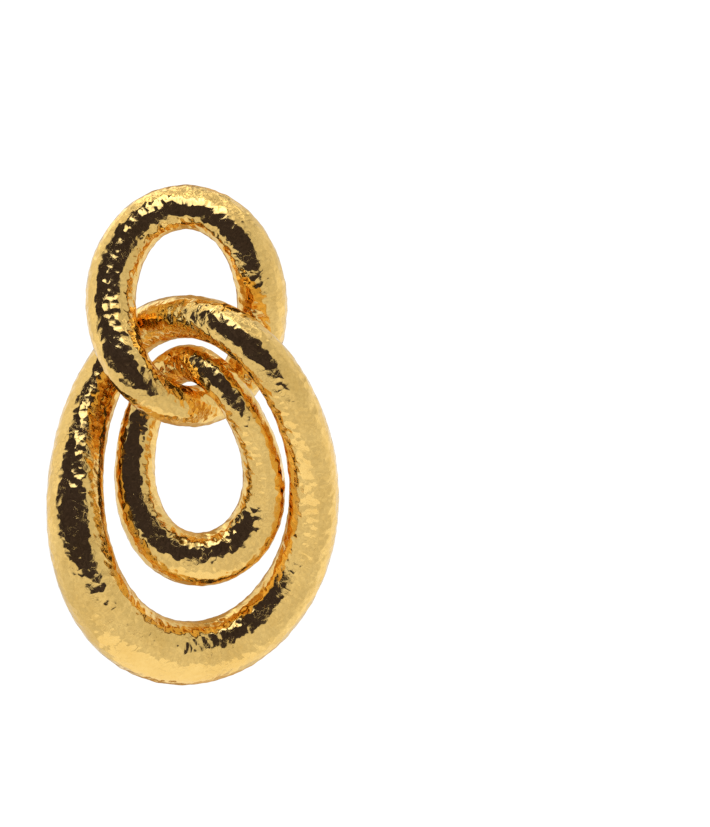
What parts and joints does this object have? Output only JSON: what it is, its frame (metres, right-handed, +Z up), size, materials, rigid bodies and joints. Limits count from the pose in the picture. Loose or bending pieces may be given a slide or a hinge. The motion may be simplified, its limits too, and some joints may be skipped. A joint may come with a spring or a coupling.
{
  "type": "double-hoop drop earring",
  "caption": "Hammered gold drop earring: an oval top link on an ear post, with an inner hoop and an outer hoop linked through it.",
  "frame": {"origin": "root of the ear post, where the ear lobe lies against the back of the top link's crown", "axes": "+Z up as worn, +Y backward along the ear post, +X to the right seen from the front"},
  "size_m": [0.0353, 0.0248, 0.0603],
  "materials": {
    "hammered_gold": "hammered and polished gold plate",
    "plain_gold": "smooth polished gold plate"
  },
  "bodies": {
    "worn_link": {"top_link": "hammered_gold", "ear_post": "plain_gold"},
    "outer_hoop": {"outer_hoop": "hammered_gold"},
    "inner_hoop": {"inner_hoop": "hammered_gold"}
  },
  "joints": [
    {"name": "outer_hoop_swing", "type": "hinge", "parent": "worn_link", "child": "outer_hoop", "pos_m": [0, -0.00266, -0.01444], "axis": [1, 0, 0], "range_deg": [-14, 10]},
    {"name": "inner_hoop_swing", "type": "hinge", "parent": "worn_link", "child": "inner_hoop", "pos_m": [0.0016, -0.00342, -0.02344], "axis": [1, 0, 0], "range_deg": [-9, 12]}
  ]
}
